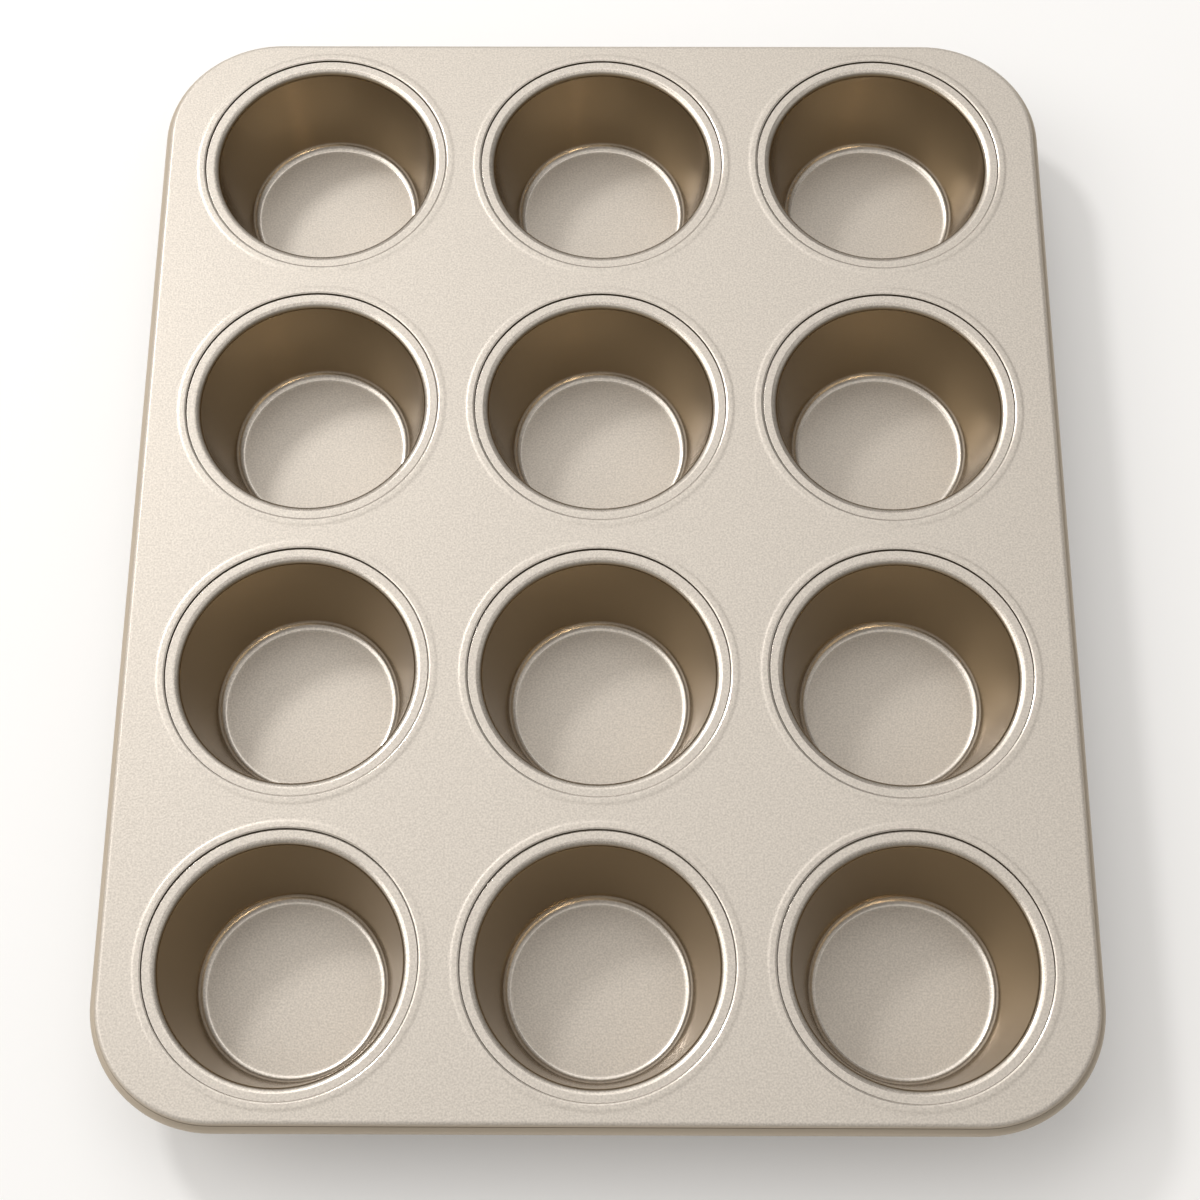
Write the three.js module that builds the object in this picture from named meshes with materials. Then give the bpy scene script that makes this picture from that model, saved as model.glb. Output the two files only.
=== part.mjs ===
// Muffin pan, in millimetres, +Z up, standing at z = 0 on the floors of its cups.
// A pressed sheet carries separate drawn cups, each with its flange sunk in a seat of the sheet.
// The edge of the sheet is rolled round a stiffening wire.
import * as THREE from 'three';
import { mergeVertices } from 'three/addons/utils/BufferGeometryUtils.js';

// Cup pattern
const COLUMNS = 3;
const ROWS = 4;
const WEB_ACROSS = 5.6; // flat sheet between two neighbouring rings, across the pan
const WEB_ALONG = 4.1; // the same, along the pan
const SIDE_MARGIN = 7.94; // flat sheet from the outer rings to the shoulder, at the long sides
const END_MARGIN = 2.19; // the same, at the short ends

// Drawn cup
const CUP_GAUGE = 0.6;
const CUP_DEPTH = 32; // from the top of the flange to the inside of the floor
const FLOOR_RADIUS = 24.3; // flat part of the floor
const FLOOR_FILLET = 2; // inside radius between wall and floor
const MOUTH_RADIUS = 35.3; // where the flat flange starts to turn down
const LIP_RADIUS = 1.8; // round of the flange into the wall
const FLANGE_WIDTH = 2.05; // flat part of the flange

// Pressed sheet
const SHEET_GAUGE = 0.8;
const RING_HEIGHT = 0.5; // how far the ring round each cup stands above the flat sheet
const RING_LAND = 0.65; // flat underside of that ring
const RING_SLOPE = 1.1; // width of the slope from the ring down to the flat sheet
const SEAM_GAP = 0.3; // clearance between cup and sheet, all round the seam
const COLLAR_BEND = 0.4; // inside radius of the collar that turns down below each cup's lip

// Rolled edge
const CORNER_RADIUS = 35; // outermost line of the pan's corners, seen from above
const SHOULDER_RADIUS = 1.6; // outside radius where the flat sheet turns down
const SHOULDER_TURN = 78; // degrees
const VALLEY_RADIUS = 0.4; // crease between the shoulder and the bead
const VALLEY_TURN = 48; // degrees
const BEAD_RADIUS = 2.2; // outside radius of the bead
const BEAD_TURN = 285; // degrees that the sheet wraps round the wire
const WIRE_CLEARANCE = 0.3; // between the wire and the inside of the bead
const WIRE_BUTT_GAP = 1; // between the two ends of the wire

// Straight steps that stand for each round stretch
const CIRCLE_STEPS = 20;
const CORNER_STEPS = 6;
const BEND_STEPS = 2;
const BEAD_STEPS = 9;
const WIRE_SIDES = 8;

// Finish of the pieces
const COATING = { color: '#cdbfa8', metalness: 0.9, roughness: 0.42 };
const BRIGHT_WIRE = { color: '#a9a8a4', metalness: 1, roughness: 0.35 };

// Heights
const rimTop = CUP_GAUGE + CUP_DEPTH;
const seatTop = rimTop - CUP_GAUGE;
const flatTop = rimTop - RING_HEIGHT;

// Radii of the seat and the ring round each cup
const flangeRadius = MOUTH_RADIUS + FLANGE_WIDTH;
const seatRadius = flangeRadius + SEAM_GAP;
const ringTopRadius = seatRadius + SHEET_GAUGE + RING_LAND;
const ringFootRadius = ringTopRadius + RING_SLOPE;

// Places of the cups, row 1 at the far end and column 1 at the left
const pitchAcross = 2 * ringFootRadius + WEB_ACROSS;
const pitchAlong = 2 * ringFootRadius + WEB_ALONG;
const cupPlaces = [];
for (let row = 0; row < ROWS; row++) {
  for (let column = 0; column < COLUMNS; column++) {
    const x = (column - (COLUMNS - 1) / 2) * pitchAcross;
    const y = ((ROWS - 1) / 2 - row) * pitchAlong;
    cupPlaces.push({ name: `cup_r${row + 1}_c${column + 1}`, x, y });
  }
}

// Half sizes of the flat sheet, up to where its shoulder starts
const flatHalfWidth = ((COLUMNS - 1) / 2) * pitchAcross + ringFootRadius + SIDE_MARGIN;
const flatHalfLength = ((ROWS - 1) / 2) * pitchAlong + ringFootRadius + END_MARGIN;

// Unit vector to the left of a heading in a cross-section, with angles in radians
function leftOf(heading) {
  return new THREE.Vector2(-Math.sin(heading), Math.cos(heading));
}

// Points along a run of straight and bent stretches in a cross-section.
// A stretch has a length, or a radius and a turn in degrees, which is positive to the left.
function runPoints(start, startHeading, stretches) {
  const points = [start];
  let heading = startHeading;
  for (const { length, radius, turn, steps } of stretches) {
    const from = points.at(-1);
    if (length !== undefined) {
      const along = new THREE.Vector2(Math.cos(heading), Math.sin(heading));
      points.push(from.clone().addScaledVector(along, length));
      continue;
    }
    const reach = radius * Math.sign(turn);
    const centre = from.clone().addScaledVector(leftOf(heading), reach);
    const angle = THREE.MathUtils.degToRad(turn);
    for (let step = 1; step <= steps; step++) {
      const spoke = leftOf(heading + (angle * step) / steps);
      points.push(centre.clone().addScaledVector(spoke, -reach));
    }
    heading += angle;
  }
  return points;
}

// Both faces of a run of sheet. Its thickness lies to the left of the first face, or to the right
// where side is -1. The second face is returned from the far end back to the start.
function sheetFaces(start, heading, stretches, gauge, side) {
  const behind = start.clone().addScaledVector(leftOf(heading), side * gauge);
  const backStretches = stretches.map((stretch) =>
    stretch.length === undefined
      ? { ...stretch, radius: stretch.radius - side * Math.sign(stretch.turn) * gauge }
      : stretch,
  );
  return {
    front: runPoints(start, heading, stretches),
    back: runPoints(behind, heading, backStretches).reverse(),
  };
}

// Triangle corners of the skin between rows of points, alike in number.
// It faces up where rows that close on themselves, counter-clockwise from above, run inward.
function skin(rows, rowsClose) {
  const corners = [];
  for (let row = 0; row + 1 < rows.length; row++) {
    const here = rows[row];
    const next = rows[row + 1];
    const spans = rowsClose ? here.length : here.length - 1;
    for (let i = 0; i < spans; i++) {
      const j = (i + 1) % here.length;
      corners.push(here[i], here[j], next[i], here[j], next[j], next[i]);
    }
  }
  return corners;
}

// One solid from the corners of its triangles
function solid(corners) {
  return mergeVertices(new THREE.BufferGeometry().setFromPoints(corners));
}

// Circle round a cup's axis
function circleRow(place, radius, height) {
  const points = [];
  for (let step = 0; step < CIRCLE_STEPS; step++) {
    const angle = (step / CIRCLE_STEPS) * 2 * Math.PI;
    const x = place.x + radius * Math.cos(angle);
    const y = place.y + radius * Math.sin(angle);
    points.push(new THREE.Vector3(x, y, height));
  }
  return points;
}

// Rolled edge in cross-section: x is the distance out from the flat sheet, y the height
const edgeRun = [
  { radius: SHOULDER_RADIUS, turn: -SHOULDER_TURN, steps: BEND_STEPS },
  { radius: VALLEY_RADIUS, turn: VALLEY_TURN, steps: BEND_STEPS },
  { radius: BEAD_RADIUS, turn: -BEAD_TURN, steps: BEAD_STEPS },
];
const edgeFaces = sheetFaces(new THREE.Vector2(0, flatTop), 0, edgeRun, SHEET_GAUGE, -1);
const edgeReach = Math.max(...edgeFaces.front.map((point) => point.x));

// Centre of the bead, which the wire lies in
const beadHeading = THREE.MathUtils.degToRad(VALLEY_TURN - SHOULDER_TURN);
const beadStart = edgeFaces.front.at(-1 - BEAD_STEPS);
const beadCentre = beadStart.clone().addScaledVector(leftOf(beadHeading), -BEAD_RADIUS);

// Rounded outline of the pan, out from the flat sheet's end by a distance.
// It starts and ends on the right-hand side.
function outlineRow(outward, height) {
  const flatCorner = CORNER_RADIUS - edgeReach;
  const points = [];
  for (let quarter = 0; quarter < 4; quarter++) {
    const middle = (quarter + 0.5) * (Math.PI / 2);
    const centreX = Math.sign(Math.cos(middle)) * (flatHalfWidth - flatCorner);
    const centreY = Math.sign(Math.sin(middle)) * (flatHalfLength - flatCorner);
    for (let step = 0; step <= CORNER_STEPS; step++) {
      const angle = (quarter + step / CORNER_STEPS) * (Math.PI / 2);
      const x = centreX + (flatCorner + outward) * Math.cos(angle);
      const y = centreY + (flatCorner + outward) * Math.sin(angle);
      points.push(new THREE.Vector3(x, y, height));
    }
  }
  return points;
}

// Slope of a cup's wall from the vertical, in radians, and its length between the two rounds:
// the straight line that touches both the lip's round and the floor's fillet
const wallRun = MOUTH_RADIUS - FLOOR_RADIUS;
const wallDrop = CUP_DEPTH - LIP_RADIUS - FLOOR_FILLET;
const wallSpan = Math.hypot(wallRun, wallDrop);
const draft = Math.acos((LIP_RADIUS + FLOOR_FILLET) / wallSpan) - Math.atan2(wallDrop, wallRun);
const wallLength = wallRun * Math.sin(draft) + wallDrop * Math.cos(draft);
const lipTurn = 90 - THREE.MathUtils.radToDeg(draft);

// Ring, seat and collar round each hole in cross-section: x is the radius, y the height.
// The collar bends outside the round of the cup's lip, and no tighter than the sheet allows.
const lipUnderside = LIP_RADIUS - CUP_GAUGE;
const collarRadius = Math.max(lipUnderside, SHEET_GAUGE + COLLAR_BEND);
const collarStart = MOUTH_RADIUS - lipUnderside + SEAM_GAP + collarRadius;
const collarRun = [
  { length: seatRadius - collarStart },
  { radius: collarRadius, turn: lipTurn, steps: BEND_STEPS },
];
const collarFaces = sheetFaces(new THREE.Vector2(seatRadius, seatTop), Math.PI, collarRun, SHEET_GAUGE, 1);
const stepUnderside = new THREE.Vector2(seatRadius + SHEET_GAUGE, seatTop - SHEET_GAUGE);
const holeSection = [
  new THREE.Vector2(ringFootRadius, flatTop),
  new THREE.Vector2(ringTopRadius, rimTop),
  new THREE.Vector2(seatRadius, rimTop),
  ...collarFaces.front,
  ...collarFaces.back.slice(0, -1),
  stepUnderside,
  new THREE.Vector2(stepUnderside.x, rimTop - SHEET_GAUGE),
  new THREE.Vector2(ringTopRadius, rimTop - SHEET_GAUGE),
  new THREE.Vector2(ringFootRadius, flatTop - SHEET_GAUGE),
];

// Flat stretch of the sheet, facing up, with a hole for each cup's ring
function flatCorners(height) {
  const edge = outlineRow(0, height);
  const holes = cupPlaces.map((place) => circleRow(place, ringFootRadius, height));
  const points = [edge, ...holes].flat();
  return THREE.ShapeUtils.triangulateShape(edge, holes).flat().map((index) => points[index]);
}

function sheetGeometry() {
  const edgeSection = [...edgeFaces.front, ...edgeFaces.back].reverse();
  const edgeRows = edgeSection.map((point) => outlineRow(point.x, point.y));
  const holeSkins = cupPlaces.map((place) =>
    skin(holeSection.map((point) => circleRow(place, point.x, point.y)), true),
  );
  return solid([
    ...flatCorners(flatTop),
    ...flatCorners(flatTop - SHEET_GAUGE).reverse(),
    ...skin(edgeRows, true),
    ...holeSkins.flat(),
  ]);
}

// Wire inside the bead, with its two ends facing each other on the right-hand side
function wireGeometry() {
  const radius = BEAD_RADIUS - SHEET_GAUGE - WIRE_CLEARANCE;
  const rows = [];
  for (let side = 0; side <= WIRE_SIDES; side++) {
    const angle = ((side % WIRE_SIDES) / WIRE_SIDES) * 2 * Math.PI;
    const outward = beadCentre.x + radius * Math.cos(angle);
    const row = outlineRow(outward, beadCentre.y + radius * Math.sin(angle));
    const first = row[0].clone().setY(WIRE_BUTT_GAP / 2);
    const last = row[0].clone().setY(-WIRE_BUTT_GAP / 2);
    rows.push([first, ...row, last]);
  }
  const corners = skin(rows, false);
  for (let side = 1; side + 1 < WIRE_SIDES; side++) {
    corners.push(rows[0][0], rows[side][0], rows[side + 1][0]);
    corners.push(rows[0].at(-1), rows[side + 1].at(-1), rows[side].at(-1));
  }
  return solid(corners);
}

// Drawn cup, turned about its axis
function cupGeometry() {
  const cupRun = [
    { length: FLANGE_WIDTH },
    { radius: LIP_RADIUS, turn: lipTurn, steps: BEND_STEPS },
    { length: wallLength },
    { radius: FLOOR_FILLET, turn: -lipTurn, steps: BEND_STEPS },
    { length: FLOOR_RADIUS },
  ];
  const faces = sheetFaces(new THREE.Vector2(flangeRadius, rimTop), Math.PI, cupRun, CUP_GAUGE, 1);
  const lathe = new THREE.LatheGeometry([...faces.back, ...faces.front], CIRCLE_STEPS);
  lathe.deleteAttribute('normal');
  lathe.deleteAttribute('uv');
  lathe.rotateX(Math.PI / 2);
  return mergeVertices(lathe);
}

function piece(name, geometry, finish) {
  const mesh = new THREE.Mesh(geometry, new THREE.MeshStandardMaterial(finish));
  mesh.name = name;
  return mesh;
}

const pan = new THREE.Group();
pan.add(piece('pan_sheet', sheetGeometry(), COATING));
pan.add(piece('rim_wire', wireGeometry(), BRIGHT_WIRE));
const cup = cupGeometry();
for (const place of cupPlaces) {
  const mesh = piece(place.name, cup, COATING);
  mesh.position.set(place.x, place.y, 0);
  pan.add(mesh);
}

export default pan;
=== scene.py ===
"""Muffin pan: a pressed sheet with a rolled edge, and twelve drawn cups seated in its holes.

All lengths are in metres. The pan stands at z = 0 on the floors of its cups, with its long sides along Y.
"""

import math

import bmesh
import bpy
from mathutils import Matrix, Vector


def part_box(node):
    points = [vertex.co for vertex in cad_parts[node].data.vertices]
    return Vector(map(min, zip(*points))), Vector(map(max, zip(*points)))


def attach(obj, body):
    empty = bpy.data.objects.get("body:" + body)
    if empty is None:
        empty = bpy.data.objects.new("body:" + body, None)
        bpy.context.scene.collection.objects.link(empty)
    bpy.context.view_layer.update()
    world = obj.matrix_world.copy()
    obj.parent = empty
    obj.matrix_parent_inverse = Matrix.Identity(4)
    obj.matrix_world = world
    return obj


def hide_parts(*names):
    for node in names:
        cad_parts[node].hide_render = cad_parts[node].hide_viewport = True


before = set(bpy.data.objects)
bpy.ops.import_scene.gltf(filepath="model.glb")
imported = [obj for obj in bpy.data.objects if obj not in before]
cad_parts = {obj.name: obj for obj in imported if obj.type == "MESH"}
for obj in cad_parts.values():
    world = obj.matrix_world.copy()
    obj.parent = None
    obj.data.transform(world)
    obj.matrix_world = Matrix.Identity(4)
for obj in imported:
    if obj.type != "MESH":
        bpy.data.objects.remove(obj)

bl_info = {
    "name": "Muffin pan",
    "version": (1, 0, 0),
    "blender": (4, 5, 0),
    "location": "View3D > Sidebar > Muffin pan",
    "description": "Builds a twelve-cup muffin pan and a plain studio to show it in",
    "category": "Object",
}

MM = 0.001

# Pieces of the frame
SHEET_NODE = "pan_sheet"
WIRE_NODE = "rim_wire"
CUP_NODES = sorted(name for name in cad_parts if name.startswith("cup_"))
COLUMNS = 3
ROWS = 4

# Sizes that come from the frame
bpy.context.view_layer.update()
CUP_LOW, CUP_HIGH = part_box(CUP_NODES[0])
SHEET_LOW, SHEET_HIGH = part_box(SHEET_NODE)
RIM_TOP = CUP_HIGH.z
FLANGE_RADIUS = (CUP_HIGH.x - CUP_LOW.x) / 2
OUTER_HALF_WIDTH = (SHEET_HIGH.x - SHEET_LOW.x) / 2
OUTER_HALF_LENGTH = (SHEET_HIGH.y - SHEET_LOW.y) / 2

# Places of the cups, from the far left to the near right
CUP_PLACES = [sum(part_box(name), Vector()) / 2 for name in CUP_NODES]

# Fineness of the meshes
CIRCLE_STEPS = 96
CORNER_STEPS = 24
FINE_BEND = 8.0  # degrees of a bend per step, where it shows
INNER_BEND = 12.0  # the same, inside the rolled edge
COARSE_BEND = 24.0  # the same, where it is hidden or very small
GUARD = 0.35 * MM  # strip beside a bend that keeps the flat next to it flat in the shading
WELD = 0.012 * MM  # points nearer to each other than this become one

# Round of the sheet's cut edges, as a share of its gauge
CUT_SHARE = 0.25

# Where the coating changes, by how far the surface faces up or down: 0 if upright, 1 if flat
FLATS = (0.975, 0.997)  # from bent to flat
BENDS = (0.6, 0.9)  # from steep to gently bent
HIGH_FADE = (0.5, 0.95)  # from the steep tone to the flat one, high up
SHEER = 0.1  # wholly in the cut tone up to here, which on the sheet is painted shade

# Heights at which the coating changes
SHINE_BLEND = 0.03 * MM  # to each side of the height where bends turn shiny
CUT_AND_SHADE_HEIGHTS = (RIM_TOP - 3.0 * MM, RIM_TOP - 2.0 * MM)  # where the cut tone comes in: the cups' cut-edge tone, and painted shade in the sheet's seams and creases

# Patterns and sheen of the finishes: scales are in waves per metre
GRAIN_WAVE = 0.9  # wave of the grain, in grain sizes
GRAIN_DETAIL = 0.0
GRAIN_WARP = 0.3
SPECKLES = (0.25, 0.75)  # grain at which speckles are darkest and lightest
COAT_SHEEN = 0.35  # strength of the coating's reflections
DRIFT_SCALE = 22.0  # slow changes of tone and roughness
DRIFT_DETAIL = 2.0
OXIDE_SCALE = 260.0  # patches on the wire
OXIDE_DETAIL = 3.0
OXIDE_POLISH = (0.45, 0.28)  # roughness of its dark and light patches
PIT_SCALE = 2600.0  # fine pits in the wire
PIT_DETAIL = 1.0
PIT_STRENGTH = 0.4
PIT_DEPTH = 0.01 * MM

# Studio
FLOOR_REACH = 4.0  # from the middle of the pan to the floor's sides
LAMP_DISTANCE = 1600.0  # in millimetres
SENSOR_WIDTH = 36.0  # in millimetres

# Layout of the nodes in a tree
NODE_ACROSS = 180
NODE_DOWN = -60
NODE_ROWS = 4


# Settings

def length(name, description, millimetres):
    """A length that can be changed, given in millimetres."""
    return bpy.props.FloatProperty(
        name=name,
        description=description,
        default=millimetres * MM,
        min=0.0,
        precision=5,
        subtype="DISTANCE",
        unit="LENGTH",
    )


def angle(name, description, degrees):
    """An angle that can be changed, given in degrees."""
    return bpy.props.FloatProperty(
        name=name,
        description=description,
        default=math.radians(degrees),
        subtype="ANGLE",
        unit="ROTATION",
    )


def share(name, description, default):
    """A number from 0 to 1 that can be changed."""
    return bpy.props.FloatProperty(
        name=name,
        description=description,
        default=default,
        min=0.0,
        max=1.0,
        subtype="FACTOR",
    )


def colour(name, description, default):
    """A linear colour that can be changed."""
    return bpy.props.FloatVectorProperty(
        name=name,
        description=description,
        default=default,
        min=0.0,
        max=1.0,
        size=3,
        subtype="COLOR",
    )


class CupSizes(bpy.types.PropertyGroup):
    """Cross-section of a drawn cup"""

    gauge: length("Gauge", "Thickness of the cup's metal", 0.6)
    floor_radius: length("Floor radius", "Flat part of the floor", 24.2)
    floor_fillet: length("Floor fillet", "Inside round between wall and floor", 2.8)
    mouth_radius: length("Mouth radius", "Where the flat flange starts to turn down", 35.3)
    lip_start: length("Lip start", "Round from the flat flange into the lip", 0.9)
    lip_crown: length("Lip crown", "Broad round along the middle of the lip", 4.0)
    lip_radius: length("Lip radius", "Round from the lip into the wall", 2.0)
    lip_rise: angle("Lip rise", "Tilt at which the broad round starts", 13.0)
    lip_fall: angle("Lip fall", "Tilt at which the broad round ends", 25.0)
    sink: length("Sink", "How far the flange lies below the ring round it", 0.3)
    edge_round: length("Edge round", "Round of the flange's cut edge", 0.1)
    play: length("Play", "How far a cup lies to one side in its hole", 0.24)
    play_bearing: angle("Play bearing", "Direction to that side, from the right", -78.0)


class SheetSizes(bpy.types.PropertyGroup):
    """Cross-section of the sheet round a cup"""

    gauge: length("Gauge", "Thickness of the sheet", 0.8)
    ring_height: length("Ring height", "How far the ring round a cup stands above the flat sheet", 0.14)
    ring_land: length("Ring land", "Flat underside of that ring", 0.8)
    ring_slope: length("Ring slope", "Width of the slope from the ring down to the flat sheet", 1.2)
    seam_gap: length("Seam gap", "Clearance between cup and sheet", 0.25)
    seam_round: length("Seam round", "Round from the ring into its bevel at the seam", 0.5)
    seam_bevel: length("Seam bevel", "Width of that bevel", 0.4)
    seam_tilt: angle("Seam tilt", "Tilt of that bevel", 20.0)
    seam_edge: length("Seam edge", "Round from that bevel down into the seam", 0.06)
    groove_width: length("Groove width", "Width of the groove in the seat below the seam", 0.7)
    groove_depth: length("Groove depth", "Depth of that groove", 0.5)
    collar_bend: length("Collar bend", "Inside radius of the collar below a cup's lip", 0.4)
    collar_gap: length("Collar gap", "Clearance between that collar and the lip", 0.4)
    crease: length("Crease", "Round of the seat's inner corners", 0.08)


class EdgeSizes(bpy.types.PropertyGroup):
    """Cross-section of the rolled edge, and the corners of the pan"""

    corner_radius: length("Corner radius", "Outermost line of the pan's corners from above", 35.0)
    shoulder_radius: length("Shoulder radius", "Outside round where the flat sheet turns down", 1.45)
    shoulder_turn: angle("Shoulder turn", "How far the shoulder turns down", 90.0)
    skirt: length("Skirt", "Straight stretch between the shoulder and the crease", 0.073)
    valley_radius: length("Valley radius", "Crease between the shoulder and the bead", 0.25)
    valley_turn: angle("Valley turn", "How far the crease turns back out", 68.0)
    bead_radius: length("Bead radius", "Outside radius of the bead", 2.2)
    bead_turn: angle("Bead turn", "How far the sheet wraps round the wire", 293.0)


class FinishLook(bpy.types.PropertyGroup):
    """Colours and texture of the coating and the wire"""

    flat_light: colour("Flats, light", "Lighter speckles on the flats", (0.643, 0.586, 0.516))
    flat_dark: colour("Flats, dark", "Darker speckles on the flats", (0.512, 0.466, 0.411))
    flat_metal: share("Flats, metal", "How metallic the coating looks on the flats", 0.36)
    flat_polish: share("Flats, roughness", "Roughness of the coating on the flats", 0.44)
    glance: colour("Glance", "Tint of the coating's reflections at a low angle", (0.85, 0.83, 0.81))
    wear: share("Wear", "How much rougher steep metal is in places", 0.04)
    grain_size: length("Grain size", "Width of one pebble of the coating", 0.6)
    grain_height: length("Grain height", "Height of the coating's pebbles", 0.035)
    wall_grain: share("Wall grain", "Share of the grain left where bent or steep", 0.05)
    wire_light: colour("Wire, light", "Lighter tone of the steel wire", (0.62, 0.61, 0.59))
    wire_dark: colour("Wire, dark", "Darker tone of the steel wire", (0.50, 0.49, 0.47))


def slope_settings(name, description, **default):
    """Settings of the coating where one kind of piece is bent or steep, from their defaults."""
    fields = {
        "dark": colour("Dark", "Darker tone where steep", default["dark"]),
        "light": colour("Light", "Lighter tone where steep", default["light"]),
        # Cut tone: on the cups a plain tone of the flange's cut edge; on the sheet painted shade that
        # darkens the seam round each cup and the crease of the rolled edge
        "cut": colour("Cut edge", "Tone of cut edges and creases", default["cut"]),
        "cut_most": share("Cut edge, end", "Upward share where that tone ends", default["cut_most"]),
        "steep_metal": share("Steep, metal", "How metallic it looks where steep", default["steep_metal"]),
        "steep_polish": share("Steep, roughness", "Least roughness where steep", default["steep_polish"]),
        "bend_metal": share("Bend, metal", "How metallic it looks on gentle bends", default["bend_metal"]),
        "bend_polish": share("Bend, roughness", "Roughness on gentle bends", default["bend_polish"]),
        "bend_height": length("Bend height", "Height above which a bend is shiny", default["bend_height"]),
        "fade_low": length("Fade, low", "Height up to which the low fade holds", default["fade_low"]),
        "fade_high": length("Fade, high", "Height from which the high fade holds", default["fade_high"]),
        "fade_least": share("Fade, start", "Upward share where the low fade starts", default["fade_least"]),
        "fade_most": share("Fade, end", "Upward share where the low fade ends", default["fade_most"]),
    }
    return type(name, (bpy.types.PropertyGroup,), {"__doc__": description, "__annotations__": fields})


WallLook = slope_settings(
    "WallLook",
    "Coating on the drawn walls and rounds of the cups",
    dark=(0.315, 0.241, 0.15),
    light=(0.337, 0.258, 0.16),
    cut=(0.45, 0.39, 0.31),
    cut_most=0.2,
    steep_metal=0.9,
    steep_polish=0.18,
    bend_metal=0.85,
    bend_polish=0.27,
    bend_height=0.0,
    fade_low=2.5,
    fade_high=6.0,
    fade_least=0.15,
    fade_most=0.45,
)
EdgeLook = slope_settings(
    "EdgeLook",
    "Coating on the rolled edge and the ring slopes of the sheet",
    dark=(0.455, 0.39, 0.308),
    light=(0.52, 0.445, 0.352),
    # painted shade: a near-black tone in the seam round each cup and in the crease of the rolled edge
    cut=(0.09, 0.067, 0.041),
    cut_most=0.5,
    steep_metal=0.4,
    steep_polish=0.42,
    bend_metal=0.7,
    bend_polish=0.24,
    bend_height=RIM_TOP / MM - 0.17,
    fade_low=RIM_TOP / MM - 1.5,
    fade_high=RIM_TOP / MM - 0.8,
    fade_least=0.95,
    fade_most=0.995,
)


class StageLook(bpy.types.PropertyGroup):
    """Floor, light and camera"""

    floor_colour: colour("Floor", "Colour of the floor", (0.945, 0.937, 0.925))
    floor_lift: share("Floor lift", "Share of the floor's white that its shadows keep", 0.18)
    sky_colour: colour("Sky", "Soft light from all round", (1.0, 0.96, 0.91))
    sky_level: share("Sky level", "Strength of the soft light", 0.41)
    sky_slant: share("Sky slant", "How much stronger it is from the left than overhead", 0.6)
    camera_place: bpy.props.FloatVectorProperty(
        name="Camera place",
        description="Where the camera stands",
        default=(3.58 * MM, -269.2 * MM, 641.7 * MM),
        size=3,
        subtype="TRANSLATION",
        unit="LENGTH",
    )
    camera_dip: angle("Camera dip", "How far the camera looks down", 67.82)
    camera_turn: angle("Camera turn", "Turn of the camera about the vertical", 0.774)
    camera_roll: angle("Camera roll", "Turn of the camera about its own axis", -0.562)
    camera_lens: bpy.props.FloatProperty(
        name="Camera lens",
        description=f"Focal length for a {SENSOR_WIDTH:g} mm sensor",
        default=68.635,
        min=1.0,
        unit="CAMERA",
    )


def lamp_settings(name, description, height, bearing, width, power):
    """Settings of one round lamp. Its bearing goes from straight behind the pan to the left."""
    fields = {
        "height": angle("Height", "Angle above the floor", height),
        "bearing": angle("Bearing", "Direction, from straight behind the pan to the left", bearing),
        "distance": length("Distance", "Distance from the middle of the pan", LAMP_DISTANCE),
        "width": length("Width", "Width of the lamp", width),
        "power": bpy.props.FloatProperty(
            name="Power",
            description="Power of the lamp",
            default=power,
            min=0.0,
            subtype="POWER",
            unit="POWER",
        ),
    }
    return type(name, (bpy.types.PropertyGroup,), {"__doc__": description, "__annotations__": fields})


KeyLamp = lamp_settings("KeyLamp", "Main lamp, behind the pan and to the left", 46.0, 45.0, 230.0, 7.0)
KeyScreen = lamp_settings("KeyScreen", "Soft screen round the main lamp", 50.0, 45.0, 900.0, 0.8)
HighBackScreen = lamp_settings("HighBackScreen", "Soft screen high behind the pan", 60.0, 10.0, 1200.0, 3.2)
BackScreen = lamp_settings("BackScreen", "Soft screen behind the pan", 40.0, 5.0, 1000.0, 1.1)
LeftScreen = lamp_settings("LeftScreen", "Soft screen on the left", 45.0, 88.0, 1100.0, 5.8)
TopScreen = lamp_settings("TopScreen", "Soft screen above the pan", 88.0, 0.0, 1800.0, 4.3)
RightScreen = lamp_settings("RightScreen", "Soft screen on the right", 45.0, -90.0, 1200.0, 1.2)


# Cross-sections

class Run:
    """A line through a cross-section, drawn as straight and bent stretches."""

    def __init__(self, start, heading=0.0):
        self.points = [Vector(start)]
        self.heading = math.radians(heading)

    def _left(self, heading):
        return Vector((-math.sin(heading), math.cos(heading)))

    def straight(self, distance):
        """Goes on, with a narrow strip at each end if there is room for it."""
        start = self.points[-1]
        along = Vector((math.cos(self.heading), math.sin(self.heading)))
        marks = [GUARD, distance - GUARD, distance] if distance > 3 * GUARD else [distance]
        for mark in marks:
            self.points.append(start + along * mark)
        return self

    def bend(self, radius, turn, step=FINE_BEND):
        """Turns by so many degrees, to the left if positive."""
        reach = math.copysign(radius, turn)
        centre = self.points[-1] + self._left(self.heading) * reach
        steps = max(2, math.ceil(abs(turn) / step))
        for index in range(1, steps + 1):
            spoke = self._left(self.heading + math.radians(turn) * index / steps)
            self.points.append(centre - spoke * reach)
        self.heading += math.radians(turn)
        return self


def wall_line(cup):
    """Slope of a cup's wall from the level, in degrees, and its length between lip and fillet."""
    start, crown = cup.lip_start - cup.lip_crown, cup.lip_crown - cup.lip_radius
    wider = start * math.sin(cup.lip_rise) + crown * math.sin(cup.lip_fall)
    deeper = start * (1 - math.cos(cup.lip_rise)) + crown * (1 - math.cos(cup.lip_fall))
    depth = RIM_TOP - cup.sink - cup.gauge - deeper
    run = cup.mouth_radius - cup.floor_radius - wider
    drop = depth - cup.lip_radius - cup.floor_fillet
    draft = math.acos((cup.lip_radius + cup.floor_fillet) / math.hypot(run, drop)) - math.atan2(drop, run)
    return 90.0 - math.degrees(draft), run * math.sin(draft) + drop * math.cos(draft)


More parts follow.
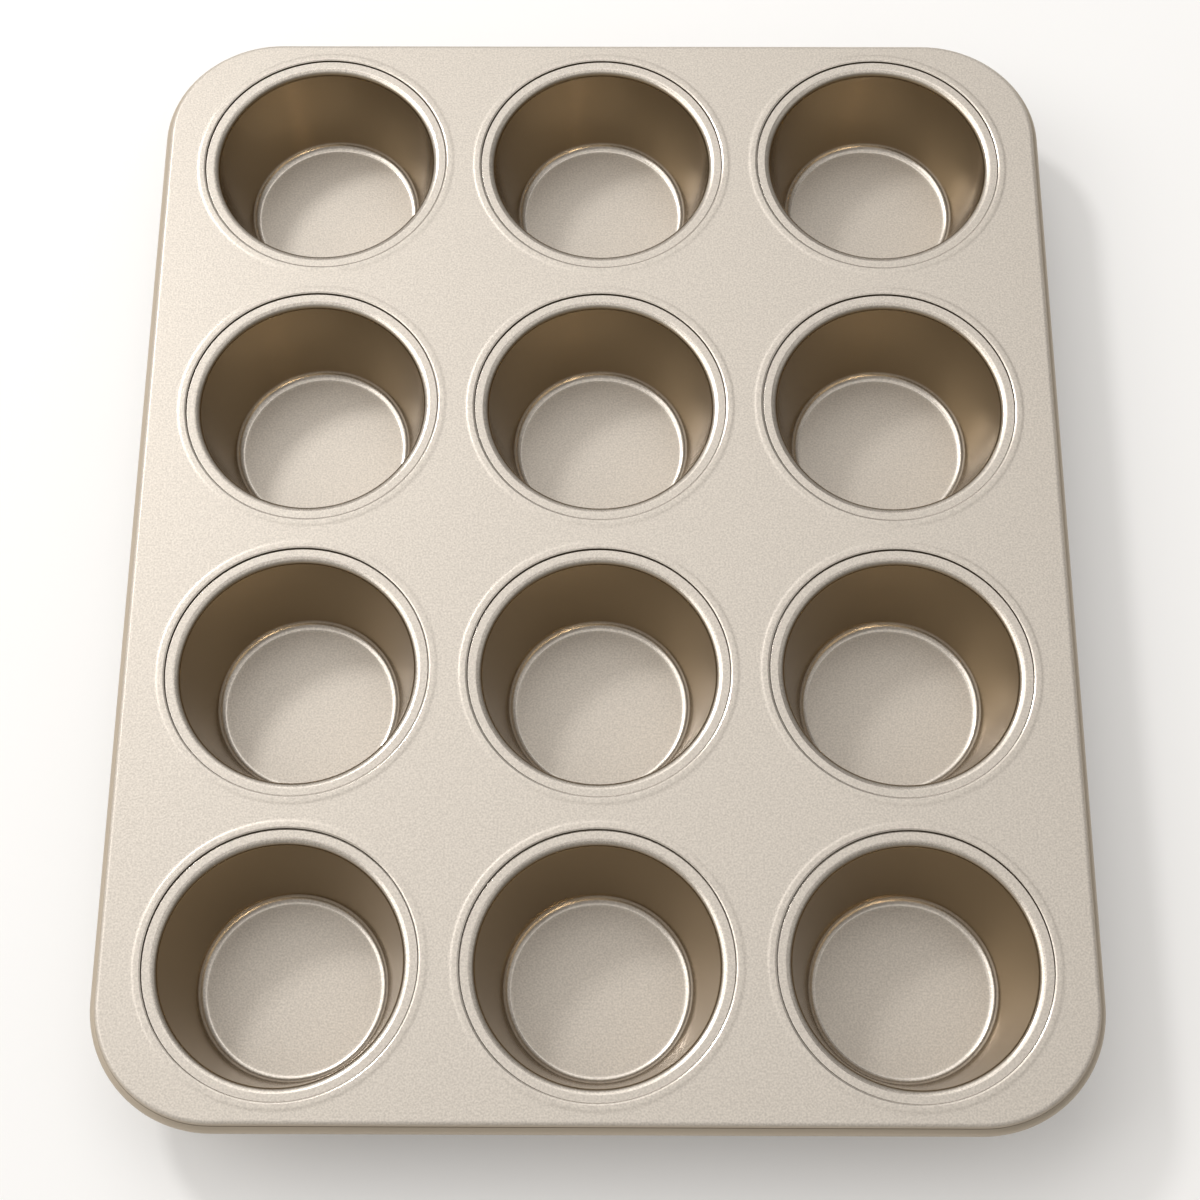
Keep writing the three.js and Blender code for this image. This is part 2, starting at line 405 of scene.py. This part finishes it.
def lip_rounds(cup, slope):
    """Rounds of a cup's lip from the wall up to the flange: radius and degrees of turn."""
    rise, fall = math.degrees(cup.lip_rise), math.degrees(cup.lip_fall)
    return [(cup.lip_radius, slope - fall), (cup.lip_crown, fall - rise), (cup.lip_start, rise)]


def cup_section(cup):
    """Cup from the middle of its floor, up the inside, round the flange and back down the outside."""
    slope, wall = wall_line(cup)
    rounds = lip_rounds(cup, slope)
    flange = FLANGE_RADIUS - cup.mouth_radius - cup.edge_round
    run = Run((0.0, cup.gauge))
    run.straight(cup.floor_radius)
    run.bend(cup.floor_fillet, slope)
    run.straight(wall)
    for radius, turn in rounds:
        run.bend(radius, -turn)
    run.straight(flange)
    run.bend(cup.edge_round, -90.0)
    run.straight(cup.gauge - 2 * cup.edge_round)
    run.bend(cup.edge_round, -90.0)
    run.straight(flange)
    for radius, turn in reversed(rounds):
        run.bend(radius - cup.gauge, turn)
    run.straight(wall)
    run.bend(cup.floor_fillet + cup.gauge, -slope)
    run.straight(cup.floor_radius)
    return run.points


def ring_foot(sheet):
    """Radius at which the ring round a cup meets the flat sheet."""
    return FLANGE_RADIUS + sheet.seam_gap + sheet.gauge + sheet.ring_land + sheet.ring_slope


def ring_section(cup, sheet):
    """Sheet round a hole: up the ring, down to the seat, round the collar and back below."""
    slope, _wall = wall_line(cup)
    seat_radius = FLANGE_RADIUS + sheet.seam_gap
    ring_top = ring_foot(sheet) - sheet.ring_slope
    collar = sheet.gauge + sheet.collar_bend
    collar_start = cup.mouth_radius + sheet.collar_gap
    tilt = sheet.seam_tilt
    bevel_width = (
        sheet.seam_round * math.sin(tilt)
        + sheet.seam_bevel * math.cos(tilt)
        + sheet.seam_edge * (1 - math.sin(tilt))
    )
    bevel_drop = (
        sheet.seam_round * (1 - math.cos(tilt))
        + sheet.seam_bevel * math.sin(tilt)
        + sheet.seam_edge * math.cos(tilt)
    )
    swing = 2 * math.degrees(math.atan2(sheet.ring_height, sheet.ring_slope))
    ease = sheet.ring_slope / (2 * math.sin(math.radians(swing)))
    cut = sheet.gauge * CUT_SHARE
    run = Run((ring_foot(sheet) + GUARD, RIM_TOP - sheet.ring_height), 180.0)
    run.straight(GUARD)
    run.bend(ease, -swing)
    run.bend(ease, swing)
    run.straight(ring_top - seat_radius - bevel_width)
    run.bend(sheet.seam_round, math.degrees(tilt))
    run.straight(sheet.seam_bevel)
    run.bend(sheet.seam_edge, 90.0 - math.degrees(tilt), COARSE_BEND)
    run.straight(cup.sink + cup.gauge + sheet.groove_depth - bevel_drop - sheet.crease)
    run.bend(sheet.crease, -90.0, COARSE_BEND)
    run.straight(sheet.groove_width - 2 * sheet.crease)
    run.bend(sheet.crease, -90.0, COARSE_BEND)
    run.straight(sheet.groove_depth - 2 * sheet.crease)
    run.bend(sheet.crease, 90.0, COARSE_BEND)
    run.straight(seat_radius - sheet.groove_width - sheet.crease - collar_start)
    run.bend(collar, slope, COARSE_BEND)
    run.bend(cut, 90.0, COARSE_BEND)
    run.straight(sheet.gauge - 2 * cut)
    run.bend(cut, 90.0, COARSE_BEND)
    run.bend(collar - sheet.gauge, -slope, COARSE_BEND)
    run.straight(seat_radius + sheet.gauge - sheet.crease - collar_start)
    run.bend(sheet.crease, 90.0, COARSE_BEND)
    run.straight(cup.sink + cup.gauge - 2 * sheet.crease)
    run.bend(sheet.crease, -90.0, COARSE_BEND)
    run.straight(sheet.ring_land - sheet.crease)
    run.bend(ease, -swing, COARSE_BEND)
    run.bend(ease, swing, COARSE_BEND)
    run.straight(GUARD)
    return run.points


def edge_section(sheet, edge, flat_top):
    """Rolled edge: over the shoulder, round the bead and back on the inside. x is 0 at the shoulder."""
    shoulder = math.degrees(edge.shoulder_turn)
    valley = math.degrees(edge.valley_turn)
    bead = math.degrees(edge.bead_turn)
    cut = sheet.gauge * CUT_SHARE
    run = Run((-GUARD, flat_top))
    run.straight(GUARD)
    run.bend(edge.shoulder_radius, -shoulder)
    run.straight(edge.skirt)
    run.bend(edge.valley_radius, valley)
    run.bend(edge.bead_radius, -bead)
    run.bend(cut, -90.0, COARSE_BEND)
    run.straight(sheet.gauge - 2 * cut)
    run.bend(cut, -90.0, COARSE_BEND)
    run.bend(edge.bead_radius - sheet.gauge, bead, INNER_BEND)
    run.bend(edge.valley_radius + sheet.gauge, -valley, INNER_BEND)
    run.straight(edge.skirt)
    run.bend(edge.shoulder_radius - sheet.gauge, shoulder, INNER_BEND)
    run.straight(GUARD)
    return run.points


# Node trees

def named_socket(sockets, name):
    """The socket in use under a name or number."""
    if isinstance(name, int):
        return sockets[name]
    return next(socket for socket in sockets if socket.name == name and socket.enabled)


def add_node(tree, kind, inputs=None, **settings):
    """One node with its settings made and its inputs linked or filled in."""
    made = tree.nodes.new(kind)
    count = len(tree.nodes)
    made.location = (NODE_ACROSS * count, NODE_DOWN * (count % NODE_ROWS))
    for name, value in settings.items():
        setattr(made, name, value)
    for name, value in (inputs or {}).items():
        socket = named_socket(made.inputs, name)
        if isinstance(value, bpy.types.NodeSocket):
            tree.links.new(value, socket)
        else:
            socket.default_value = value
    return made


def new_tree(name, inputs):
    """An empty tree with named inputs, and the outputs of its input node."""
    tree = bpy.data.node_groups.new(name, "GeometryNodeTree")
    for label, kind in inputs.items():
        tree.interface.new_socket(name=label, in_out="INPUT", socket_type="NodeSocket" + kind)
    tree.interface.new_socket(name="Piece", in_out="OUTPUT", socket_type="NodeSocketGeometry")
    return tree, add_node(tree, "NodeGroupInput").outputs


def end_tree(tree, geometry, finish):
    """Smooth shading, real geometry and the finish, as the last nodes of a tree."""
    smooth = add_node(tree, "GeometryNodeSetShadeSmooth", {"Geometry": geometry})
    real = add_node(tree, "GeometryNodeRealizeInstances", {"Geometry": smooth.outputs[0]})
    finished = add_node(tree, "GeometryNodeSetMaterial", {"Geometry": real.outputs[0], "Material": finish})
    add_node(tree, "NodeGroupOutput", {"Piece": finished.outputs[0]})
    return tree


def turned(tree, section, steps, spindle):
    """Section turned about the Z axis. Its x is the radius and its y the height."""
    flipped = add_node(
        tree,
        "GeometryNodeTransform",
        {"Geometry": section, "Translation": (-spindle, 0.0, 0.0), "Rotation": (math.pi, 0.0, 0.0)},
    )
    line = add_node(tree, "GeometryNodeMeshToCurve", {"Mesh": flipped.outputs[0]})
    circle = add_node(tree, "GeometryNodeCurvePrimitiveCircle", {"Resolution": steps, "Radius": spindle})
    swept = add_node(
        tree,
        "GeometryNodeCurveToMesh",
        {"Curve": circle.outputs["Curve"], "Profile Curve": line.outputs[0]},
    )
    welded = add_node(
        tree,
        "GeometryNodeMergeByDistance",
        {"Geometry": swept.outputs[0], "Distance": WELD},
    )
    return welded.outputs[0]


def rounded_outline(tree, width, height, radius, steps):
    """Rectangle with rounded corners, counter-clockwise from above."""
    sides = add_node(tree, "GeometryNodeCurvePrimitiveQuadrilateral", {"Width": width, "Height": height})
    return add_node(
        tree,
        "GeometryNodeFilletCurve",
        {"Curve": sides.outputs[0], "Radius": radius, "Count": steps},
        mode="POLY",
    ).outputs[0]


def on_cup_grid(tree, shape, inputs):
    """A shape repeated at each cup's place."""
    grid = add_node(
        tree,
        "GeometryNodeMeshGrid",
        {
            "Size X": inputs["Grid Width"],
            "Size Y": inputs["Grid Length"],
            "Vertices X": inputs["Columns"],
            "Vertices Y": inputs["Rows"],
        },
    )
    copies = add_node(
        tree,
        "GeometryNodeInstanceOnPoints",
        {"Points": grid.outputs["Mesh"], "Instance": shape},
    )
    return add_node(tree, "GeometryNodeRealizeInstances", {"Geometry": copies.outputs[0]}).outputs[0]


GRID_INPUTS = {"Grid Width": "Float", "Grid Length": "Float", "Columns": "Int", "Rows": "Int"}
OUTLINE_INPUTS = {"Width": "Float", "Length": "Float", "Corner Radius": "Float", "Corner Steps": "Int"}


def cup_tree():
    """One cup, turned and set in its place."""
    tree, inputs = new_tree(
        "Turned cup",
        {"Section": "Geometry", "Steps": "Int", "Place": "Vector", "Finish": "Material"},
    )
    cup = turned(tree, inputs["Section"], inputs["Steps"], FLANGE_RADIUS)
    placed = add_node(tree, "GeometryNodeTransform", {"Geometry": cup, "Translation": inputs["Place"]})
    return end_tree(tree, placed.outputs[0], inputs["Finish"])


def ring_tree():
    """Ring, seat and collar, repeated at each hole of the sheet."""
    tree, inputs = new_tree(
        "Rings round the holes",
        {"Section": "Geometry", "Steps": "Int", **GRID_INPUTS, "Finish": "Material"},
    )
    ring = turned(tree, inputs["Section"], inputs["Steps"], FLANGE_RADIUS)
    return end_tree(tree, on_cup_grid(tree, ring, inputs), inputs["Finish"])


def flat_tree():
    """Flat stretch of the sheet, with a hole for each ring. It makes no use of its section."""
    tree, inputs = new_tree(
        "Flat sheet",
        {
            "Section": "Geometry",
            **OUTLINE_INPUTS,
            "Hole Radius": "Float",
            "Steps": "Int",
            **GRID_INPUTS,
            "Level": "Vector",
            "Finish": "Material",
        },
    )
    rim = rounded_outline(
        tree, inputs["Width"], inputs["Length"], inputs["Corner Radius"], inputs["Corner Steps"]
    )
    hole = add_node(
        tree,
        "GeometryNodeCurvePrimitiveCircle",
        {"Resolution": inputs["Steps"], "Radius": inputs["Hole Radius"]},
    )
    holes = on_cup_grid(tree, hole.outputs["Curve"], inputs)
    lines = add_node(tree, "GeometryNodeJoinGeometry", {"Geometry": rim})
    tree.links.new(holes, lines.inputs[0])
    filled = add_node(tree, "GeometryNodeFillCurve", {"Curve": lines.outputs[0]})
    raised = add_node(
        tree,
        "GeometryNodeTransform",
        {"Geometry": filled.outputs[0], "Translation": inputs["Level"]},
    )
    return end_tree(tree, raised.outputs[0], inputs["Finish"])


def edge_tree():
    """Rolled edge, swept along the rounded outline. The section's x is the way out from that outline."""
    tree, inputs = new_tree(
        "Rolled edge",
        {"Section": "Geometry", **OUTLINE_INPUTS, "Finish": "Material"},
    )
    path = rounded_outline(
        tree, inputs["Width"], inputs["Length"], inputs["Corner Radius"], inputs["Corner Steps"]
    )
    flipped = add_node(
        tree,
        "GeometryNodeTransform",
        {"Geometry": inputs["Section"], "Rotation": (math.pi, 0.0, 0.0)},
    )
    line = add_node(tree, "GeometryNodeMeshToCurve", {"Mesh": flipped.outputs[0]})
    swept = add_node(tree, "GeometryNodeCurveToMesh", {"Curve": path, "Profile Curve": line.outputs[0]})
    return end_tree(tree, swept.outputs[0], inputs["Finish"])


def run_tree(tree, section, values):
    """Plain mesh that a tree makes from a section's points and named values."""
    line = bpy.data.meshes.new("section")
    links = [(index, index + 1) for index in range(len(section) - 1)]
    line.from_pydata([(point.x, point.y, 0.0) for point in section], links, [])
    carrier = bpy.data.objects.new("section", line)
    bpy.context.scene.collection.objects.link(carrier)
    modifier = carrier.modifiers.new("Shape", "NODES")
    modifier.node_group = tree
    for item in tree.interface.items_tree:
        if item.in_out == "INPUT" and item.name in values:
            modifier[item.identifier] = values[item.name]
    depsgraph = bpy.context.evaluated_depsgraph_get()
    made = bpy.data.meshes.new_from_object(carrier.evaluated_get(depsgraph))
    carrier.modifiers.remove(modifier)
    bpy.data.objects.remove(carrier)
    bpy.data.meshes.remove(line)
    return made


def closed_shell(name, meshes):
    """One mesh from several that meet along their edges, closed and facing outward."""
    work = bmesh.new()
    for mesh in meshes:
        work.from_mesh(mesh)
    bmesh.ops.remove_doubles(work, verts=work.verts, dist=WELD)
    bmesh.ops.recalc_face_normals(work, faces=work.faces)
    open_edges = sum(1 for edge in work.edges if len(edge.link_faces) != 2)
    if work.calc_volume(signed=True) < 0.0:
        bmesh.ops.reverse_faces(work, faces=work.faces)
    for face in work.faces:
        face.material_index = 0
    shell = bpy.data.meshes.new(name)
    work.to_mesh(shell)
    work.free()
    shell.materials.append(next(finish for finish in meshes[0].materials if finish))
    for mesh in meshes:
        bpy.data.meshes.remove(mesh)
    if open_edges:
        raise RuntimeError(f"{name} isn't closed: {open_edges} edges don't join two faces")
    return shell


def add_piece(name, mesh, node):
    """A finished piece in the frame, standing for a node."""
    piece = bpy.data.objects.new(name, mesh)
    bpy.context.scene.collection.objects.link(piece)
    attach(piece, "root")
    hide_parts(node)
    return piece


# Finishes

def rgba(tone):
    """A colour as a node takes it."""
    return (*tone, 1.0)


def new_finish(name):
    """A material and its tree, still empty."""
    material = bpy.data.materials.new(name)
    material.use_nodes = True
    material.node_tree.nodes.clear()
    return material, material.node_tree


def noise(tree, place, scale, detail, warp=0.0):
    """Noise at a place."""
    made = add_node(
        tree,
        "ShaderNodeTexNoise",
        {"Vector": place, "Scale": scale, "Detail": detail, "Distortion": warp},
    )
    return made.outputs["Fac"]


def ramp(tree, value, span=(0.0, 1.0), result=(0.0, 1.0), **settings):
    """A value's place in a span, as the same place between two results."""
    ends = {"From Min": span[0], "From Max": span[1], "To Min": result[0], "To Max": result[1]}
    return add_node(tree, "ShaderNodeMapRange", {"Value": value, **ends}, **settings).outputs[0]


def soft_ramp(tree, value, span):
    """A value's place in a span, from 0 to 1, with a slow start and end."""
    return ramp(tree, value, span, interpolation_type="SMOOTHSTEP")


def blend(tree, kind, factor, first, second):
    """Blend of two numbers, kind FLOAT, or two colours, kind RGBA."""
    made = add_node(tree, "ShaderNodeMix", {"Factor": factor, "A": first, "B": second}, data_type=kind)
    return named_socket(made.outputs, "Result")


def combine(tree, operation, first, second):
    """Product of two numbers, or the larger of them."""
    return add_node(tree, "ShaderNodeMath", {0: first, 1: second}, operation=operation).outputs[0]


def coating(name, look, slope):
    """Champagne non-stick coating: pale and pebbled on flats, smooth on bends, deeper where steep, in its
    own tone on the cups' cut edges and in painted shade on the sheet's seams and creases.
    """
    material, tree = new_finish(name)
    place = add_node(tree, "ShaderNodeTexCoord").outputs["Object"]
    height = add_node(tree, "ShaderNodeSeparateXYZ", {"Vector": place}).outputs["Z"]
    facing = add_node(tree, "ShaderNodeNewGeometry").outputs["Normal"]
    upward = add_node(tree, "ShaderNodeSeparateXYZ", {"Vector": facing}).outputs["Z"]
    level = add_node(tree, "ShaderNodeMath", {0: upward}, operation="ABSOLUTE").outputs[0]
    grain = noise(tree, place, 1 / (GRAIN_WAVE * look.grain_size), GRAIN_DETAIL, GRAIN_WARP)
    drift = noise(tree, place, DRIFT_SCALE, DRIFT_DETAIL)

    # Where it is flat, shiny on a bend, out of the steep tone, and in the cut tone, which is painted shade
    # on the sheet's seams and creases
    flat = soft_ramp(tree, level, FLATS)
    bent = soft_ramp(tree, level, BENDS)
    above = ramp(tree, height, (slope.bend_height - SHINE_BLEND, slope.bend_height + SHINE_BLEND))
    shiny = combine(tree, "MULTIPLY", bent, above)
    heights = (slope.fade_low, slope.fade_high)
    fade_start = ramp(tree, height, heights, (slope.fade_least, HIGH_FADE[0]))
    fade_end = ramp(tree, height, heights, (slope.fade_most, HIGH_FADE[1]))
    gentle = soft_ramp(tree, level, (fade_start, fade_end))
    sheer = ramp(tree, level, (SHEER, slope.cut_most), (1.0, 0.0))
    cut = combine(tree, "MULTIPLY", sheer, ramp(tree, height, CUT_AND_SHADE_HEIGHTS))

    # Colour
    speckle = ramp(tree, grain, SPECKLES)
    flat_paint = blend(tree, "RGBA", speckle, rgba(look.flat_dark), rgba(look.flat_light))
    steep_paint = blend(tree, "RGBA", drift, rgba(slope.dark), rgba(slope.light))
    whole_paint = blend(tree, "RGBA", gentle, steep_paint, flat_paint)
    # cut edges take the cut tone; on the sheet it is painted shade in the seams and creases
    paint = blend(tree, "RGBA", cut, whole_paint, rgba(slope.cut))

    # Metal, roughness and grain
    slope_metal = ramp(tree, shiny, result=(slope.steep_metal, slope.bend_metal))
    metal = blend(tree, "FLOAT", flat, slope_metal, look.flat_metal)
    steep_polish = ramp(tree, drift, result=(slope.steep_polish, slope.steep_polish + look.wear))
    slope_polish = blend(tree, "FLOAT", shiny, steep_polish, slope.bend_polish)
    polish = blend(tree, "FLOAT", flat, slope_polish, look.flat_polish)
    strength = ramp(tree, flat, result=(look.wall_grain, 1.0))
    relief = add_node(
        tree,
        "ShaderNodeBump",
        {"Strength": strength, "Distance": look.grain_height, "Height": grain},
    )
    shader = add_node(
        tree,
        "ShaderNodeBsdfPrincipled",
        {
            "Base Color": paint,
            "Metallic": metal,
            "Roughness": polish,
            "Specular IOR Level": COAT_SHEEN,
            "Specular Tint": rgba(look.glance),
            "Normal": relief.outputs[0],
        },
    )
    add_node(tree, "ShaderNodeOutputMaterial", {"Surface": shader.outputs[0]})
    return material


def wire_steel(look):
    """Drawn steel wire, finely pitted, with patches of dull oxide."""
    material, tree = new_finish("drawn_wire")
    place = add_node(tree, "ShaderNodeTexCoord").outputs["Object"]
    patches = noise(tree, place, OXIDE_SCALE, OXIDE_DETAIL)
    pits = noise(tree, place, PIT_SCALE, PIT_DETAIL)
    relief = add_node(
        tree,
        "ShaderNodeBump",
        {"Strength": PIT_STRENGTH, "Distance": PIT_DEPTH, "Height": pits},
    )
    shader = add_node(
        tree,
        "ShaderNodeBsdfPrincipled",
        {
            "Base Color": blend(tree, "RGBA", patches, rgba(look.wire_dark), rgba(look.wire_light)),
            "Metallic": 1.0,
            "Roughness": ramp(tree, patches, result=OXIDE_POLISH),
            "Normal": relief.outputs[0],
        },
    )
    add_node(tree, "ShaderNodeOutputMaterial", {"Surface": shader.outputs[0]})
    return material


def floor_paint(look):
    """Plain pale matt floor. A share of its white is its own, for what the eye and the metal see of it."""
    material, tree = new_finish("studio_floor")
    paper = add_node(tree, "ShaderNodeBsdfDiffuse", {"Color": rgba(look.floor_colour)})
    white = add_node(tree, "ShaderNodeEmission", {"Color": rgba(look.floor_colour), "Strength": 1.0})
    path = add_node(tree, "ShaderNodeLightPath").outputs
    mirrored = combine(tree, "MAXIMUM", path["Is Glossy Ray"], path["Is Transmission Ray"])
    seen = combine(tree, "MAXIMUM", path["Is Camera Ray"], mirrored)
    lift = combine(tree, "MULTIPLY", seen, look.floor_lift)
    surface = add_node(
        tree,
        "ShaderNodeMixShader",
        {0: lift, 1: paper.outputs[0], 2: white.outputs[0]},
    )
    add_node(tree, "ShaderNodeOutputMaterial", {"Surface": surface.outputs[0]})
    return material


# Operators

class PAN_OT_cups(bpy.types.Operator):
    """Turn the twelve drawn cups"""

    bl_idname = "muffin_pan.cups"
    bl_label = "Drawn cups"

    def execute(self, context):
        scene = context.scene
        cup = scene.muffin_cup
        finish = coating("cup_champagne", scene.muffin_finish, scene.muffin_wall)
        section = cup_section(cup)
        tree = cup_tree()
        for node in CUP_NODES:
            low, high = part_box(node)
            middle = (low + high) / 2
            place = (
                middle.x + cup.play * math.cos(cup.play_bearing),
                middle.y + cup.play * math.sin(cup.play_bearing),
                low.z,
            )
            values = {"Steps": CIRCLE_STEPS, "Place": place, "Finish": finish}
            shell = closed_shell(node + "_drawn", [run_tree(tree, section, values)])
            add_piece(node + "_drawn", shell, node)
        return {"FINISHED"}


class PAN_OT_sheet(bpy.types.Operator):
    """Press the sheet with its rings, seats and collars, and roll its edge"""

    bl_idname = "muffin_pan.sheet"
    bl_label = "Pressed sheet"

    def execute(self, context):
        scene = context.scene
        cup, sheet, edge = scene.muffin_cup, scene.muffin_sheet, scene.muffin_edge
        finish = coating("sheet_champagne", scene.muffin_finish, scene.muffin_edge_look)
        flat_top = RIM_TOP - sheet.ring_height
        rolled = edge_section(sheet, edge, flat_top)
        reach = max(point.x for point in rolled)
        grid = {
            "Grid Width": CUP_PLACES[-1].x - CUP_PLACES[0].x,
            "Grid Length": CUP_PLACES[0].y - CUP_PLACES[-1].y,
            "Columns": COLUMNS,
            "Rows": ROWS,
        }
        outline = {
            "Width": 2 * (OUTER_HALF_WIDTH - reach),
            "Length": 2 * (OUTER_HALF_LENGTH - reach),
            "Corner Radius": edge.corner_radius - reach,
            "Corner Steps": CORNER_STEPS,
        }
        inner = {
            "Width": outline["Width"] - 2 * GUARD,
            "Length": outline["Length"] - 2 * GUARD,
            "Corner Radius": outline["Corner Radius"] - GUARD,
            "Corner Steps": CORNER_STEPS,
        }
        common = {"Steps": CIRCLE_STEPS, "Finish": finish}
        flat = {**inner, **grid, **common, "Hole Radius": ring_foot(sheet) + GUARD}
        flat_shape = flat_tree()
        shell = closed_shell(
            "pan_sheet_pressed",
            [
                run_tree(ring_tree(), ring_section(cup, sheet), {**grid, **common}),
                run_tree(edge_tree(), rolled, {**outline, **common}),
                run_tree(flat_shape, rolled, {**flat, "Level": (0.0, 0.0, flat_top)}),
                run_tree(flat_shape, rolled, {**flat, "Level": (0.0, 0.0, flat_top - sheet.gauge)}),
            ],
        )
        add_piece("pan_sheet_pressed", shell, SHEET_NODE)
        return {"FINISHED"}


class PAN_OT_wire(bpy.types.Operator):
    """Give the wire inside the rolled edge its finish"""

    bl_idname = "muffin_pan.wire"
    bl_label = "Rim wire"

    def execute(self, context):
        finish = wire_steel(context.scene.muffin_finish)
        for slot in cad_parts[WIRE_NODE].material_slots:
            slot.material = finish
        return {"FINISHED"}


class PAN_OT_stage(bpy.types.Operator):
    """Set up the floor, the light and the camera"""

    bl_idname = "muffin_pan.stage"
    bl_label = "Studio"

    def execute(self, context):
        scene = context.scene
        look = scene.muffin_stage
        add_floor(scene, look)
        add_sky(scene, look)
        for name in LAMPS:
            add_lamp(scene, name, getattr(scene, name))
        add_camera(scene, look)
        scene.view_settings.view_transform = "Standard"
        return {"FINISHED"}


def add_floor(scene, look):
    """A wide floor that the pan stands on."""
    far = FLOOR_REACH
    mesh = bpy.data.meshes.new("studio_floor")
    corners = [(-far, -far, 0.0), (far, -far, 0.0), (far, far, 0.0), (-far, far, 0.0)]
    mesh.from_pydata(corners, [], [(0, 1, 2, 3)])
    mesh.materials.append(floor_paint(look))
    floor = bpy.data.objects.new("studio_floor", mesh)
    scene.collection.objects.link(floor)


def add_sky(scene, look):
    """Soft light from all round, stronger from the left than from the right."""
    world = bpy.data.worlds.new("studio_sky")
    world.use_nodes = True
    tree = world.node_tree
    tree.nodes.clear()
    toward = add_node(tree, "ShaderNodeTexCoord").outputs["Generated"]
    across = add_node(tree, "ShaderNodeSeparateXYZ", {"Vector": toward}).outputs["X"]
    left = look.sky_level * (1.0 + look.sky_slant)
    right = look.sky_level * (1.0 - look.sky_slant)
    level = ramp(tree, across, (-1.0, 1.0), (left, right))
    sky = add_node(tree, "ShaderNodeBackground", {"Color": rgba(look.sky_colour), "Strength": level})
    add_node(tree, "ShaderNodeOutputWorld", {"Surface": sky.outputs[0]})
    scene.world = world


def add_lamp(scene, name, settings):
    """A round lamp that shines at the middle of the pan."""
    lamp = bpy.data.lights.new(name, "AREA")
    lamp.shape = "DISK"
    lamp.size = settings.width
    lamp.energy = settings.power
    carrier = bpy.data.objects.new(name, lamp)
    level = math.cos(settings.height)
    toward = Vector(
        (
            -math.sin(settings.bearing) * level,
            math.cos(settings.bearing) * level,
            math.sin(settings.height),
        )
    )
    carrier.location = toward * settings.distance
    carrier.rotation_euler = toward.to_track_quat("Z", "Y").to_euler()
    scene.collection.objects.link(carrier)


def add_camera(scene, look):
    """Camera at the photograph's viewing angle."""
    lens = bpy.data.cameras.new("studio_camera")
    lens.sensor_width = SENSOR_WIDTH
    lens.lens = look.camera_lens
    camera = bpy.data.objects.new("studio_camera", lens)
    turn = Matrix.Rotation(look.camera_turn, 4, "Z")
    dip = Matrix.Rotation(math.pi / 2 - look.camera_dip, 4, "X")
    roll = Matrix.Rotation(look.camera_roll, 4, "Z")
    camera.matrix_world = Matrix.Translation(look.camera_place) @ turn @ dip @ roll
    scene.collection.objects.link(camera)
    scene.camera = camera


class PAN_PT_panel(bpy.types.Panel):
    """Sizes, finishes and steps of the muffin pan"""

    bl_idname = "PAN_PT_panel"
    bl_label = "Muffin pan"
    bl_space_type = "VIEW_3D"
    bl_region_type = "UI"
    bl_category = "Muffin pan"

    def draw(self, context):
        for name, kind in SETTINGS.items():
            box = self.layout.box()
            box.label(text=kind.__doc__)
            for field in kind.__annotations__:
                box.prop(getattr(context.scene, name), field)
        for step in STEPS:
            self.layout.operator(step.bl_idname)


# Add-on

LAMPS = {
    "muffin_key_lamp": KeyLamp,
    "muffin_key_screen": KeyScreen,
    "muffin_high_back_screen": HighBackScreen,
    "muffin_back_screen": BackScreen,
    "muffin_left_screen": LeftScreen,
    "muffin_top_screen": TopScreen,
    "muffin_right_screen": RightScreen,
}
SETTINGS = {
    "muffin_cup": CupSizes,
    "muffin_sheet": SheetSizes,
    "muffin_edge": EdgeSizes,
    "muffin_finish": FinishLook,
    "muffin_wall": WallLook,
    "muffin_edge_look": EdgeLook,
    "muffin_stage": StageLook,
    **LAMPS,
}
STEPS = (PAN_OT_cups, PAN_OT_sheet, PAN_OT_wire, PAN_OT_stage)


def register():
    for name, kind in SETTINGS.items():
        bpy.utils.register_class(kind)
        setattr(bpy.types.Scene, name, bpy.props.PointerProperty(type=kind))
    for step in STEPS:
        bpy.utils.register_class(step)
    bpy.utils.register_class(PAN_PT_panel)


def unregister():
    bpy.utils.unregister_class(PAN_PT_panel)
    for step in reversed(STEPS):
        bpy.utils.unregister_class(step)
    for name, kind in SETTINGS.items():
        delattr(bpy.types.Scene, name)
        bpy.utils.unregister_class(kind)


def main():
    """Registers the add-on and makes every piece and the stage."""
    register()
    bpy.ops.muffin_pan.cups()
    bpy.ops.muffin_pan.sheet()
    bpy.ops.muffin_pan.wire()
    bpy.ops.muffin_pan.stage()


if __name__ == "__main__":
    main()
